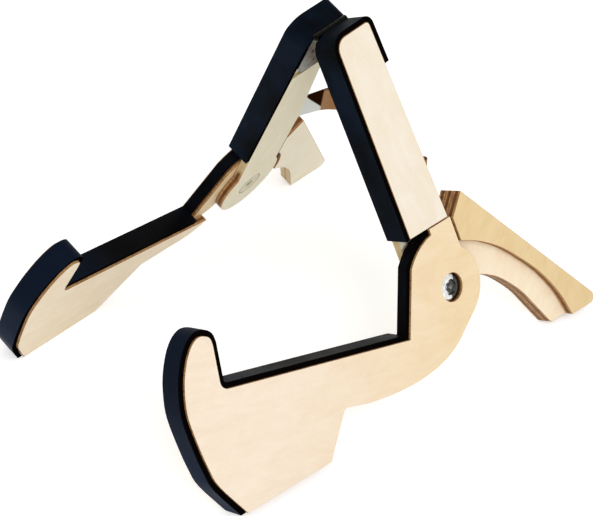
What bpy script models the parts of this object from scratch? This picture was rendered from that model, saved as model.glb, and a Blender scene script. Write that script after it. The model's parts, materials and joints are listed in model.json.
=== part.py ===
"""A folding stand for one instrument, cut from birch plywood and laminated from three sheets.

Two mirrored halves stand as a tent on a butt hinge. In each half a post, a J-shaped arm and a rear leg turn on
one bolt. Each half is drawn in its own plane, round its bolt: x runs forward, z runs up the post, and w is the
depth from the closing plane outwards.
"""

import math

import bmesh
import bpy
import numpy as np
from mathutils import Matrix, Vector

MM = 0.001

# The plywood stack
SHEET = 4.8 * MM
GLUE_LINE = 0.3 * MM
CLOSING_GAP = 0.2 * MM
CLEARANCE = 0.3 * MM
SHEETS = 3
PITCH = SHEET + GLUE_LINE
INNER, MIDDLE, OUTER = range(SHEETS)

# How the stand is set up
HALF_OPENING = math.radians(26.2)
POST_LEAN = math.radians(11.33)
FLOOR_DROP = 56.0 * MM

# The post
POST_DROP = 161.4 * MM
TOP_DROP = 3.0 * MM
POST_FRONT = 16.6 * MM
POST_REAR_LOW = 15.0 * MM
POST_REAR_TOP = 9.4 * MM
NECK_REAR = 18.6 * MM
NECK_TOP = 62.0 * MM
NECK_MERGE = 115.0 * MM
FRONT_ROUND = 7.0 * MM
REAR_ROUND = 2.5 * MM
BLOCK_LIFT = 39.0 * MM
BLOCK_SLOPE = math.radians(7.0)
REAR_WRAP = 25.0 * MM

# The pivot
DISC_RADIUS = 23.6 * MM
HEAD_RADIUS = 8.1 * MM
HEAD_RECESS = 1.6 * MM
HEAD_DEPTH = 1.6 * MM
SOCKET_RADIUS = 4.4 * MM
SOCKET_DEPTH = 1.1 * MM
SHANK_RADIUS = 3.0 * MM
SLEEVE_RADIUS = 4.4 * MM
NUT_HEAD_RADIUS = 8.4 * MM
NUT_HEAD_DEPTH = 1.5 * MM

# The arm
CRADLE_SLOPE = math.radians(23.0)
CRADLE_DROP = 23.6 * MM
CRADLE_LENGTH = 131.4 * MM
LEDGE_SETBACK = 35.6 * MM
LEDGE_RAKE = math.radians(6.1)
SHOULDER_RADIUS = 34.9 * MM
SHOULDER_END = math.radians(88.0)
TOOTH_REAR = 16.4 * MM
TOOTH_GAP = 0.7 * MM
FOOT_FORWARD = 15.5 * MM
FOOT_LENGTH = 57.4 * MM
HOOK_ROUND = 5.0 * MM
INNER_START = 27.0 * MM
# The hook, its front and the curve down to the toe, along the cradle and square to it, from the hook's corner
HOOK = [(3.2, 23.2), (4.6, 26.6), (7.6, 28.2), (11.7, 28.2), (15.6, 25.1), (18.9, 18.9), (21.3, 9.7), (21.9, 0.1),
        (20.9, -9.9), (15.9, -25.4), (11.0, -37.6), (5.8, -47.0)]
# The notch behind the heel and the curve of the belly from there to the bolt, on the outer and the other sheets
OUTER_BELLY = [(99.7, -12.3), (84.0, -20.3), (66.0, -26.9), (46.6, -31.9), (28.5, -33.7), (12.5, -31.6),
               (-2.0, -25.3)]
OTHER_BELLY = [(91.5, -6.2), (68.0, -11.0), (52.0, -14.8), (40.0, -14.0)]

# The rear leg
LEG_SEAM = 18.2 * MM
INNER_LEG_SEAM = 19.2 * MM
SEAM_TOP = 34.4 * MM
CREST = (-30.6, 44.8)
TIP_REACH = 112.5 * MM
TIP_ROUND = 4.0 * MM
OUTER_FOOT = 84.4 * MM
OTHER_FOOT = 70.0 * MM
TONGUE_END = math.radians(195.0)
LEG_RELIEF = 3.0 * MM
OUTER_ARCH = [(-18.2, 19.6), (-31.8, 10.9), (-45.7, -1.4), (-58.3, -16.9), (-69.7, -33.6), (-79.2, -53.5)]
OTHER_ARCH = [(-33.0, -12.6), (-42.3, -20.9), (-54.2, -37.0), (-61.5, -52.0)]

# The rubber strips
RUBBER = 2.8 * MM
ARM_STRIP_INSET = 1.2 * MM
LEDGE_STRIP_START = 7.6 * MM

# The top hinge
LEAF_SET = 0.15 * MM
LEAF_THICKNESS = 1.2 * MM
LEAF_FRONT = 15.4 * MM
LEAF_LENGTH = 24.4 * MM
LEAF_DROP = 36.4 * MM
LEAF_CUT = 6.5 * MM
KNUCKLES = 5
KNUCKLE_RADIUS = 1.8 * MM
PIN_RADIUS = 0.7 * MM
LEAF_SCREWS = [(8.6, 16.7), (-3.4, 16.7), (2.6, 28.0)]
SCREW_HEAD_RADIUS = 2.1 * MM
SCREW_RADIUS = 1.0 * MM
SCREW_LENGTH = 3.6 * MM

# The strap
STRAP_WIDTH = 21.0 * MM
STRAP_THICKNESS = 1.8 * MM
STRAP_LIFT = 61.4 * MM
STRAP_TUCK = 10.0 * MM
STRAP_LEAD = 3.8 * MM
STRAP_BOW = 33.0 * MM
# The course of the strap from left to right: shares of its half width and of its bow
STRAP_COURSE = [(-0.95, 0.26), (-0.8, 0.66), (-0.45, 0.95), (0.0, 0.78), (0.42, 0.42), (0.78, 0.07)]


def sheet_span(index):
    """The depths of the two faces of one sheet."""
    start = CLOSING_GAP + index * PITCH
    return start, start + SHEET


def floor_height(x):
    """The floor line in the plane of a half."""
    return -FLOOR_DROP + x * math.tan(POST_LEAN)


def block_foot(x):
    """The straight, sloping bottom of the post's block."""
    return BLOCK_LIFT + x * math.tan(BLOCK_SLOPE)


def rear_edge(z):
    """The rear edge of the block, which narrows towards the top of the post."""
    share = (z - BLOCK_LIFT) / (POST_DROP - TOP_DROP - BLOCK_LIFT)
    return -POST_REAR_LOW + (POST_REAR_LOW - POST_REAR_TOP) * share


def from_cradle(s, t):
    """A point given along the cradle and square to it, from the bolt."""
    c, n = math.cos(CRADLE_SLOPE), math.sin(CRADLE_SLOPE)
    return np.array([s * c - t * n, s * n + t * c])


def arc(radius, start, end, center=(0.0, 0.0), step=math.radians(9)):
    """Points of a circular arc, both ends included."""
    angles = np.linspace(start, end, max(2, math.ceil(abs(end - start) / step) + 1))
    return np.column_stack([center[0] + radius * np.cos(angles), center[1] + radius * np.sin(angles)])


def smooth(points, steps=4):
    """A Catmull-Rom curve through the points, both ends included."""
    p = np.asarray(points, float)
    p = np.vstack([2 * p[0] - p[1], p, 2 * p[-1] - p[-2]])
    t = np.linspace(0, 1, steps, endpoint=False)[:, None]
    runs = []
    for a, b, c, d in zip(p, p[1:], p[2:], p[3:]):
        square, cube = 2 * a - 5 * b + 4 * c - d, 3 * b - a - 3 * c + d
        runs.append(0.5 * (2 * b + (c - a) * t + square * t**2 + cube * t**3))
    return np.vstack(runs + [p[-2:-1]])


def rounded(before, corner, after, radius):
    """The arc that rounds the corner between two straight runs."""
    before, corner, after = (np.asarray(p, float) for p in (before, corner, after))
    a = (before - corner) / np.linalg.norm(before - corner)
    b = (after - corner) / np.linalg.norm(after - corner)
    half = math.acos(float(np.clip(a @ b, -1, 1))) / 2
    center = corner + (a + b) / np.linalg.norm(a + b) * radius / math.sin(half)
    first = corner + a * radius / math.tan(half) - center
    last = corner + b * radius / math.tan(half) - center
    start = math.atan2(first[1], first[0])
    turn = (math.atan2(last[1], last[0]) - start + math.pi) % (2 * math.pi) - math.pi
    return arc(radius, start, start + turn, center, math.radians(15))


def offset(path, distance):
    """The path moved to its left by a distance, with its corners mitred."""
    run = np.diff(path, axis=0)
    normal = np.column_stack([-run[:, 1], run[:, 0]]) / np.linalg.norm(run, axis=1)[:, None]
    first, last = np.vstack([normal[:1], normal]), np.vstack([normal, normal[-1:]])
    return path + distance * (first + last) / (1 + (first * last).sum(axis=1))[:, None]


def material(name, color, roughness, metallic=0.0):
    """A plain Principled material."""
    made = bpy.data.materials.new(name)
    made.use_nodes = True
    shader = made.node_tree.nodes["Principled BSDF"]
    shader.inputs["Base Color"].default_value = (*color, 1)
    shader.inputs["Roughness"].default_value = roughness
    shader.inputs["Metallic"].default_value = metallic
    return made


def mesh_object(name, bm, parent, finish):
    """Puts a bmesh into the scene as one closed object under its parent."""
    bmesh.ops.recalc_face_normals(bm, faces=bm.faces[:])
    mesh = bpy.data.meshes.new(name)
    bm.to_mesh(mesh)
    bm.free()
    made = bpy.data.objects.new(name, mesh)
    bpy.context.collection.objects.link(made)
    made.parent = parent
    if finish:
        mesh.materials.append(finish)
    return made


def slab(name, outline, depths, side, parent, finish=None):
    """An outline in the plane of a half, given its thickness between two depths."""
    bm = bmesh.new()
    low = [bm.verts.new((x, side * depths[0], z)) for x, z in outline]
    high = [bm.verts.new((x, side * depths[1], z)) for x, z in outline]
    bm.faces.new(low)
    bm.faces.new(high)
    for i, vertex in enumerate(low):
        follow = (i + 1) % len(low)
        bm.faces.new((vertex, low[follow], high[follow], high[i]))
    return mesh_object(name, bm, parent, finish)


def turned(name, profile, side, parent, finish=None, center=(0.0, 0.0), sides=32):
    """A profile of radius and depth, from axis to axis, turned round a line square to the half's plane."""
    bm = bmesh.new()
    rings = []
    for radius, depth in profile:
        angles = np.linspace(0, 2 * math.pi, sides if radius else 1, endpoint=False)
        rings.append([bm.verts.new((center[0] + radius * math.cos(a), side * depth,
                                    center[1] + radius * math.sin(a))) for a in angles])
    for first, second in zip(rings, rings[1:]):
        for i in range(sides):
            j = i + 1
            ring = [first[i % len(first)], first[j % len(first)], second[j % len(second)], second[i % len(second)]]
            bm.faces.new(list(dict.fromkeys(ring)))
    made = mesh_object(name, bm, parent, finish)
    made.data.shade_smooth()
    made.data.set_sharp_from_angle(angle=math.radians(35))
    return made


def rod(name, radius, start, end, parent, finish=None, sides=24):
    """A round bar along the hinge line."""
    bm = bmesh.new()
    place = Matrix.Translation(((start + end) / 2, 0, POST_DROP)) @ Matrix.Rotation(math.pi / 2, 4, "Y")
    bmesh.ops.create_cone(bm, cap_ends=True, segments=sides, radius1=radius, radius2=radius, depth=abs(end - start),
                          matrix=place)
    made = mesh_object(name, bm, parent, finish)
    made.data.shade_smooth()
    made.data.set_sharp_from_angle(angle=math.radians(35))
    return made


def boolean(target, tool, operation="DIFFERENCE"):
    """Cuts a hidden tool from a piece, or joins it on."""
    tool.hide_render = True
    tool.display_type = "WIRE"
    step = target.modifiers.new(tool.name, "BOOLEAN")
    step.operation = operation
    step.object = tool
    step.solver = "EXACT"


def bore(target, start, steps, side, parent, center=(0.0, 0.0)):
    """A stepped round hole square to the half's plane, from one depth through each step's radius to its depth."""
    profile = [(0, start)]
    for radius, end in steps:
        profile += [(radius, start), (radius, end)]
        start = end
    boolean(target, turned(target.name + "_bore", profile + [(0, start)], side, parent, center=center))


def block_path():
    """Up the front edge of the block, over its rounded top and down its rear edge to the end of the rubber."""
    top = POST_DROP - TOP_DROP
    front_low, front_top = (POST_FRONT, block_foot(POST_FRONT)), (POST_FRONT, top)
    rear_top, wrap = (rear_edge(top), top), (rear_edge(top - REAR_WRAP), top - REAR_WRAP)
    over_front = rounded(front_low, front_top, rear_top, FRONT_ROUND)
    return np.vstack([[front_low], over_front, rounded(front_top, rear_top, wrap, REAR_ROUND), [wrap]])


def post_outline(index):
    """The block of the post. On the inner sheet a neck and the disc round the bolt follow below it."""
    if index != INNER:
        return np.vstack([block_path(), [(-POST_REAR_LOW, block_foot(-POST_REAR_LOW))]])
    neck = [(rear_edge(NECK_MERGE), NECK_MERGE), (-NECK_REAR, NECK_TOP)]
    start = math.pi - math.acos(NECK_REAR / DISC_RADIUS)
    end = 2 * math.pi + math.acos(POST_FRONT / DISC_RADIUS)
    return np.vstack([block_path(), neck, arc(DISC_RADIUS, start, end)])


def ledge_path(end=SHOULDER_END):
    """From the round shoulder down the raked ledge to the cradle's corner."""
    corner = from_cradle(LEDGE_SETBACK, -CRADLE_DROP)
    angle = CRADLE_SLOPE + math.pi / 2 + LEDGE_RAKE
    along = np.array([math.cos(angle), math.sin(angle)])
    reach = -corner @ along + math.sqrt((corner @ along) ** 2 - corner @ corner + SHOULDER_RADIUS**2)
    top = corner + along * reach
    return np.vstack([arc(SHOULDER_RADIUS, end, math.atan2(top[1], top[0])), [corner]])


def toe():
    """The front end of the arm's foot."""
    x = from_cradle(LEDGE_SETBACK + CRADLE_LENGTH, -CRADLE_DROP)[0] + FOOT_FORWARD
    return np.array([x, floor_height(x)])


def heel():
    """The rear end of the arm's foot."""
    x = toe()[0] - FOOT_LENGTH
    return np.array([x, floor_height(x)])


def hook_path():
    """From the cradle up the hook, over its tip and down its front to the toe."""
    s, t = LEDGE_SETBACK + CRADLE_LENGTH, -CRADLE_DROP
    points = [from_cradle(s + a * MM, t + b * MM) for a, b in HOOK]
    corner = rounded(from_cradle(LEDGE_SETBACK, t), from_cradle(s, t), points[0], HOOK_ROUND)
    return np.vstack([corner, smooth(points + [toe()])])


def belly(points):
    """The lower edge of the arm, from the heel through the notch to the last point."""
    points = np.array(points) * MM
    notch = rounded(heel(), points[0], points[1], 3 * MM)
    return np.vstack([[heel()], notch, smooth(points[1:])])


def arm_outline(index):
    """The arm. The outer sheet has the disc and the stop tooth, and the inner one starts in front of the post."""
    if index == OUTER:
        rear, front = -TOOTH_REAR, SHOULDER_RADIUS * math.cos(SHOULDER_END)
        tooth = [(rear, block_foot(rear) - TOOTH_GAP), (front, block_foot(front) - TOOTH_GAP)]
        below = belly(OUTER_BELLY)
        start = math.atan2(below[-1][1], below[-1][0]) - math.radians(20)
        end = -math.pi - math.acos(TOOTH_REAR / DISC_RADIUS)
        return np.vstack([tooth, ledge_path(), hook_path(), below, arc(DISC_RADIUS, start, end)])
    below = belly(OTHER_BELLY)
    if index == MIDDLE:
        inside = DISC_RADIUS + CLEARANCE
        start = math.asin(from_cradle(INNER_START, -CRADLE_DROP)[1] / inside)
        return np.vstack([ledge_path(), hook_path(), below, arc(inside, start, SHOULDER_END)])
    return np.vstack([[from_cradle(INNER_START, -CRADLE_DROP)], hook_path(), below])


def leg_outline(index):
    """The rear leg. The middle sheet carries the disc round the bolt, and the others keep clear of it."""
    crest = np.array(CREST) * MM
    tip = np.array([-TIP_REACH, floor_height(-TIP_REACH)])
    seam = -INNER_LEG_SEAM if index == INNER else -LEG_SEAM
    foot_x = -OUTER_FOOT if index == OUTER else -OTHER_FOOT
    foot = np.array([foot_x, floor_height(foot_x)])
    head = np.vstack([[(seam, SEAM_TOP)], [crest], rounded(crest, tip, foot, TIP_ROUND)])
    if index == OUTER:
        return np.vstack([head, smooth(np.vstack([np.array(OUTER_ARCH) * MM, foot]))[::-1]])
    arch = np.array(OTHER_ARCH)[::-1] * MM
    inside = DISC_RADIUS + (LEG_RELIEF if index == INNER else 0)
    meet = math.pi - math.acos(-seam / inside) + (2 * math.pi if index == MIDDLE else 0)
    return np.vstack([head, rounded(tip, foot, arch[0], 3 * MM), smooth(arch), arc(inside, TONGUE_END, meet)])


def strip(name, path, depths, side, parent, finish, outwards):
    """A flat rubber strip along an edge path, between two depths of the stack."""
    near, far = offset(path, outwards * CLEARANCE), offset(path, outwards * (CLEARANCE + RUBBER))
    return slab(name, np.vstack([near, far[::-1]]), depths, side, parent, finish)


def box(name, x, w, z, side, parent):
    """A box between two values of each direction, for cutting."""
    return slab(name, [(x[0], z[0]), (x[1], z[0]), (x[1], z[1]), (x[0], z[1])], w, side, parent)


def hinge_leaf(name, side, first, parent, steel):
    """One leaf of the butt hinge, with every second knuckle, its pin bore and its countersunk holes."""
    w = CLOSING_GAP + LEAF_SET, CLOSING_GAP + LEAF_SET + LEAF_THICKNESS
    low, high = POST_DROP - LEAF_DROP, POST_DROP - KNUCKLE_RADIUS - 0.5 * MM
    rear, step = LEAF_FRONT - LEAF_LENGTH, LEAF_LENGTH / KNUCKLES
    outline = [(rear, low), (LEAF_FRONT - LEAF_CUT, low), (LEAF_FRONT, low + LEAF_CUT * 1.2)]
    spans = []
    for i in range(KNUCKLES):
        span = LEAF_FRONT - i * step - CLEARANCE / 2, LEAF_FRONT - (i + 1) * step + CLEARANCE / 2
        if i % 2 == first:
            spans.append(span)
            outline += [(span[0], high), (span[0], POST_DROP), (span[1], POST_DROP), (span[1], high)]
        elif i in (0, KNUCKLES - 1):
            outline.append((LEAF_FRONT if i == 0 else rear, high))
    leaf = slab(name, outline, w, side, parent, steel)
    for i, span in enumerate(spans):
        boolean(leaf, rod(f"{name}_knuckle_{i}", KNUCKLE_RADIUS, *span, parent), "UNION")
    boolean(leaf, rod(name + "_pin_bore", PIN_RADIUS + CLEARANCE, LEAF_FRONT + MM, rear - MM, parent))
    for i, (x, drop) in enumerate(LEAF_SCREWS):
        sink = [(0, w[0] - MM), (SCREW_HEAD_RADIUS + CLEARANCE, w[0] - MM), (SCREW_HEAD_RADIUS + CLEARANCE, w[0]),
                (SCREW_RADIUS + CLEARANCE, w[1] + 0.1 * MM), (0, w[1] + 0.1 * MM)]
        place = x * MM, POST_DROP - drop * MM
        boolean(leaf, turned(f"{name}_sink_{i}", sink, side, parent, center=place, sides=20))
    return leaf


def hinge_screws(name, side, parent, steel, wood):
    """The countersunk screws of one leaf and their blind holes in the inner sheet."""
    start = CLOSING_GAP + LEAF_SET + 0.1 * MM
    end = start + SCREW_LENGTH
    for i, (x, drop) in enumerate(LEAF_SCREWS):
        place = x * MM, POST_DROP - drop * MM
        profile = [(0, start), (SCREW_HEAD_RADIUS, start), (SCREW_RADIUS, start + LEAF_THICKNESS),
                   (SCREW_RADIUS, end - 0.8 * MM), (0, end)]
        turned(f"{name}_{i + 1}", profile, side, parent, steel, place, 20)
        bore(wood, 0, [(SCREW_RADIUS + CLEARANCE, end + CLEARANCE)], side, parent, place)


def post(name, side, parent, ply, rubber, steel):
    """The three sheets of the post, with the hinge pocket and the slot of the strap, and its rubber strip."""
    sheets = [slab(f"{name}_post_{layer}", post_outline(i), sheet_span(i), side, parent, ply)
              for i, layer in enumerate(("inner", "middle", "outer"))]
    pocket = CLOSING_GAP + LEAF_SET + LEAF_THICKNESS + CLEARANCE
    low = POST_DROP - LEAF_DROP - 0.5 * MM
    boolean(sheets[INNER], box(name + "_pocket", (-30 * MM, 30 * MM), (-MM, pocket), (low, POST_DROP + 9 * MM),
                               side, parent))
    seat = CLOSING_GAP + NUT_HEAD_DEPTH + CLEARANCE
    through = [(NUT_HEAD_RADIUS + CLEARANCE, seat), (SLEEVE_RADIUS + CLEARANCE, sheet_span(INNER)[1] + MM)]
    bore(sheets[INNER], -MM, through, side, parent)
    hinge_screws(name + "_hinge_screw", side, parent, steel, sheets[INNER])
    half, start = STRAP_WIDTH / 2 + CLEARANCE, sheet_span(INNER)[1] - STRAP_THICKNESS - CLEARANCE
    boolean(sheets[INNER], box(name + "_slot", (-30 * MM, STRAP_TUCK - NECK_REAR + CLEARANCE),
                               (start, sheet_span(INNER)[1] + MM), (STRAP_LIFT - half, STRAP_LIFT + half), side,
                               parent))
    stack = CLOSING_GAP, sheet_span(OUTER)[1]
    pad = strip(name + "_post_rubber", block_path(), stack, side, parent, rubber, -1)
    boolean(pad, box(name + "_leaf_notch", (LEAF_FRONT - LEAF_LENGTH - CLEARANCE, LEAF_FRONT + CLEARANCE),
                     (-MM, pocket), (low, POST_DROP + 9 * MM), side, parent))
    boolean(pad, rod(name + "_barrel_notch", KNUCKLE_RADIUS + CLEARANCE, LEAF_FRONT + CLEARANCE,
                     LEAF_FRONT - LEAF_LENGTH - CLEARANCE, parent))


def arm(name, side, parent, ply, rubber):
    """The three sheets of the arm and its rubber strip, which is only half as wide on the ledge."""
    sheets = [slab(f"{name}_arm_{layer}", arm_outline(i), sheet_span(i), side, parent, ply)
              for i, layer in enumerate(("inner", "middle", "outer"))]
    start, end = sheet_span(OUTER)
    seat = end - HEAD_RECESS - HEAD_DEPTH - CLEARANCE
    through = [(SLEEVE_RADIUS + CLEARANCE, seat), (HEAD_RADIUS + CLEARANCE, end + MM)]
    bore(sheets[OUTER], start - MM, through, side, parent)
    path = np.vstack([ledge_path(SHOULDER_END - 0.01), hook_path()])
    depths = CLOSING_GAP + ARM_STRIP_INSET, sheet_span(OUTER)[1] - ARM_STRIP_INSET
    pad = strip(name + "_arm_rubber", path, depths, side, parent, rubber, 1)
    start = LEDGE_SETBACK + CLEARANCE + RUBBER + 0.5 * MM
    outline = [from_cradle(s, t) for s, t in ((-start, start), (-start, -start), (start, -start), (start, start))]
    boolean(pad, slab(name + "_ledge_cut", outline, (-MM, LEDGE_STRIP_START), side, parent))
    far, deep = 2 * toe()[0], 60 * MM
    below = [(x, floor_height(x) + drop) for x, drop in ((0, CLEARANCE), (0, -deep), (far, -deep), (far, CLEARANCE))]
    boolean(pad, slab(name + "_floor_cut", below, (-MM, sheet_span(OUTER)[1] + MM), side, parent))


def leg(name, side, parent, ply):
    """The three sheets of the rear leg."""
    sheets = [slab(f"{name}_leg_{layer}", leg_outline(i), sheet_span(i), side, parent, ply)
              for i, layer in enumerate(("inner", "middle", "outer"))]
    start, end = sheet_span(MIDDLE)
    bore(sheets[MIDDLE], start - MM, [(SLEEVE_RADIUS + CLEARANCE, end + MM)], side, parent)


def pivot(name, side, parent, steel):
    """The bolt, with a wide socket head in the arm, and the sleeve nut with a flat head in the post."""
    top = sheet_span(OUTER)[1] - HEAD_RECESS
    under, tip = top - HEAD_DEPTH, CLOSING_GAP + NUT_HEAD_DEPTH + MM
    head = [(0, tip), (SHANK_RADIUS, tip), (SHANK_RADIUS, under), (HEAD_RADIUS, under), (HEAD_RADIUS, top),
            (SOCKET_RADIUS, top), (SOCKET_RADIUS, top - SOCKET_DEPTH), (0, top - SOCKET_DEPTH)]
    turned(name + "_pivot_bolt", head, side, parent, steel)
    inside, end = SHANK_RADIUS + CLEARANCE, under - CLEARANCE
    sleeve = [(0, CLOSING_GAP), (NUT_HEAD_RADIUS, CLOSING_GAP), (NUT_HEAD_RADIUS, CLOSING_GAP + NUT_HEAD_DEPTH),
              (SLEEVE_RADIUS, CLOSING_GAP + NUT_HEAD_DEPTH), (SLEEVE_RADIUS, end), (inside, end),
              (inside, tip - CLEARANCE), (0, tip - CLEARANCE)]
    turned(name + "_sleeve_nut", sleeve, side, parent, steel)


def strap(frames, parent, leather):
    """The leather strap: tucked between two sheets of each post, it bows backwards in an arc."""
    w = sheet_span(INNER)[1] - STRAP_THICKNESS / 2
    x = -NECK_REAR
    ends, widths = [], []
    for side in (-1, 1):
        ends.append([frames[side] @ Vector((a, side * w, STRAP_LIFT - POST_DROP))
                     for a in (x + STRAP_TUCK, x, x - STRAP_LEAD)])
        widths.append(np.array(frames[side].to_3x3() @ Vector((0, 0, 1))))
    left, right = (np.array(end) for end in ends)
    back = (left[1] - left[0]) / np.linalg.norm(left[1] - left[0])
    middle, half = (left[2] + right[2]) / 2, (left[2] - right[2]) / 2
    bow = [middle - half * across + back * STRAP_BOW * depth for across, depth in STRAP_COURSE]
    path = smooth(list(left) + bow + list(right[::-1]))
    tangent = np.gradient(path, axis=0)
    share = np.clip((half @ (path - middle).T) / (half @ half) / 2 + 0.5, 0, 1)[:, None]
    across = share * widths[0] + (1 - share) * widths[1]
    across -= tangent * ((across * tangent).sum(axis=1) / (tangent**2).sum(axis=1))[:, None]
    across /= np.linalg.norm(across, axis=1)[:, None]
    out = np.cross(tangent, across)
    out /= np.linalg.norm(out, axis=1)[:, None]
    bm = bmesh.new()
    corners = [(1, 1), (1, -1), (-1, -1), (-1, 1)]
    rings = [[bm.verts.new(p + a * STRAP_WIDTH / 2 * u + b * STRAP_THICKNESS / 2 * v) for u, v in corners]
             for p, a, b in zip(path, across, out)]
    bm.faces.new(rings[0])
    bm.faces.new(rings[-1])
    for first, second in zip(rings, rings[1:]):
        for i in range(4):
            bm.faces.new((first[i], first[i - 1], second[i - 1], second[i]))
    return mesh_object("strap", bm, parent, leather)


def empty(name, parent=None):
    """An empty on a joint's axis."""
    made = bpy.data.objects.new(name, None)
    bpy.context.collection.objects.link(made)
    made.parent = parent
    return made


def half_frame(side):
    """The place and turn of one half: its origin is on the hinge line and its local y runs out to its side."""
    tilt = -math.atan(math.tan(POST_LEAN) * math.cos(HALF_OPENING))
    forward = Vector((0, -math.cos(tilt), math.sin(tilt)))
    upright = Vector((0, math.sin(tilt), math.cos(tilt)))
    sideways = Vector((1, 0, 0))
    up = math.cos(HALF_OPENING) * upright - side * math.sin(HALF_OPENING) * sideways
    out = math.cos(HALF_OPENING) * sideways + side * math.sin(HALF_OPENING) * upright
    lift = (POST_DROP + FLOOR_DROP) * math.cos(HALF_OPENING) - CLOSING_GAP * math.sin(HALF_OPENING)
    turn = Matrix((forward, out, up)).transposed().to_4x4()
    return Matrix.Translation((0, 0, lift * math.cos(tilt))) @ turn


def build():
    """Both halves, the hinge and the strap."""
    ply = material("birch_plywood", (0.86, 0.71, 0.5), 0.55)
    rubber = material("rubber", (0.008, 0.01, 0.015), 0.6)
    steel = material("steel", (0.62, 0.62, 0.6), 0.3, 1.0)
    leather = material("leather", (0.42, 0.2, 0.08), 0.6)
    frames = {}
    for side, name in ((1, "right"), (-1, "left")):
        hinge_line = empty(name + "_post_axis")
        hinge_line.matrix_world = frames[side] = half_frame(side)
        arm_axis = empty(name + "_arm_axis", hinge_line)
        leg_axis = empty(name + "_leg_axis", arm_axis)
        post(name, side, hinge_line, ply, rubber, steel)
        arm(name, side, arm_axis, ply, rubber)
        leg(name, side, leg_axis, ply)
        pivot(name, side, hinge_line, steel)
        hinge_leaf(name + "_hinge_leaf", side, 0 if side > 0 else 1, hinge_line, steel)
        if side > 0:
            rod("hinge_pin", PIN_RADIUS, LEAF_FRONT + 0.4 * MM, LEAF_FRONT - LEAF_LENGTH - 0.4 * MM, hinge_line, steel)
        for piece in hinge_line.children:
            piece.location.z = -POST_DROP
    strap(frames, None, leather)
    centre_on_floor()


def centre_on_floor():
    """Slides everything so that the origin is on the floor in the middle of the footprint."""
    bpy.context.view_layer.update()
    pieces = [thing for thing in bpy.data.objects if thing.type == "MESH" and not thing.hide_render]
    depths = [(piece.matrix_world @ vertex.co).y for piece in pieces for vertex in piece.data.vertices]
    for thing in bpy.data.objects:
        if thing.parent is None:
            thing.location.y -= (min(depths) + max(depths)) / 2


for thing in list(bpy.data.objects):
    bpy.data.objects.remove(thing)
build()
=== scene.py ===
"""Looks of a folding plywood stand for one stringed instrument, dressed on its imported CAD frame.

Object coordinates are the frame's own, in metres: the floor is z = 0, the hooks face -y and the right half is
on the +x side. Sizes in the sections are in millimetres where nothing else is said.
"""

import json
import math

import bmesh
import bpy
import numpy as np
from mathutils import Matrix


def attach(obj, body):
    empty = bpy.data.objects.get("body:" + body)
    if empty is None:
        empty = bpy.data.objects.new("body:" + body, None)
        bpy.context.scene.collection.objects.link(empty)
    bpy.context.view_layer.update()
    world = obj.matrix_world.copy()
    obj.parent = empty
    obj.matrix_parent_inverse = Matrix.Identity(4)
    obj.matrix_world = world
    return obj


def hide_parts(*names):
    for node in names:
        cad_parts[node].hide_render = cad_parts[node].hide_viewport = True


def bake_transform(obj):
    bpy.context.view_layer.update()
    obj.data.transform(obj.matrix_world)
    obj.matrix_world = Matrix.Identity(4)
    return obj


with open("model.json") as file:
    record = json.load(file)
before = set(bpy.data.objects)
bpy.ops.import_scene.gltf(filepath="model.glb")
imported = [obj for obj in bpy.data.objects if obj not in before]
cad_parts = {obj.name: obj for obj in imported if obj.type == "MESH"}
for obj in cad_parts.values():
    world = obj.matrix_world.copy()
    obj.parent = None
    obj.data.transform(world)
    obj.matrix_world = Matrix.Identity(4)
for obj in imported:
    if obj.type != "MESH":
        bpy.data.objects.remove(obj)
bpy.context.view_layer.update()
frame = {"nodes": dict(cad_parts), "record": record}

# Camera
# A long lens about 0.8 m away looks down on the opened stand from the front right, as the photograph does.
# The three rows are its right, down and forward directions. The shift is the photograph's off-centre crop.
CAMERA_PLACE = (0.3957, -0.5088, 0.4970)
CAMERA_RIGHT = (0.74327, 0.66375, 0.08359)
CAMERA_DOWN = (0.43189, -0.38066, -0.81766)
CAMERA_FORWARD = (-0.51090, 0.64384, -0.56960)
SENSOR_WIDTH = 36
FOCAL_LENGTH = 81.54
LENS_SHIFT = (0.0267, -0.0067)

lens = bpy.data.cameras.new("photo_lens")
lens.sensor_width = SENSOR_WIDTH
lens.lens = FOCAL_LENGTH
lens.shift_x, lens.shift_y = LENS_SHIFT
camera = bpy.data.objects.new("photo_camera", lens)
aimed = np.eye(4)
aimed[:3, 0] = CAMERA_RIGHT
aimed[:3, 1] = -np.array(CAMERA_DOWN)
aimed[:3, 2] = -np.array(CAMERA_FORWARD)
aimed[:3, 3] = CAMERA_PLACE
camera.matrix_world = Matrix(aimed.tolist())
bpy.context.collection.objects.link(camera)
bpy.context.scene.camera = camera


# Studio
# A white paper sweep under a white tent, with a wide soft box at the front right, a low one beside it and a
# weak one at the left. Rays to the eye, off metal and through glass see the tent at full white, and the paper
# keeps the stand's shadow.
TENT_LIGHT = 0.64
PAPER_LIFT = 0.42
PAPER_REACH = 6
# Each soft box's place and width in metres, and its power in watts
SOFT_BOXES = {"key_box": ((1.25, -0.55, 1.25), 1.1, 10.0), "low_box": ((1.5, -0.9, 0.1), 0.9, 5.5),
              "fill_box": ((-1.1, -1.2, 0.8), 0.9, 3.0)}


def linear(code):
    """A colour written as sRGB hex, turned to linear light."""
    channels = np.array([int(code[i:i + 2], 16) for i in (0, 2, 4)]) / 255
    channels = np.where(channels <= 0.04045, channels / 12.92, ((channels + 0.055) / 1.055) ** 2.4)
    return (*channels.tolist(), 1.0)


def add(tree, kind, inputs, **settings):
    """Adds a node with its settings. Each input is a value, or another node's socket to link.

    Inputs go by name or number. A Mix of colours takes them at 6 and 7 and gives its colour at output 2.
    """
    made = tree.nodes.new("ShaderNode" + kind)
    for name, value in settings.items():
        setattr(made, name, value)
    for name, value in inputs.items():
        if isinstance(value, bpy.types.NodeSocket):
            tree.links.new(value, made.inputs[name])
        else:
            made.inputs[name].default_value = value
    return made


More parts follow.
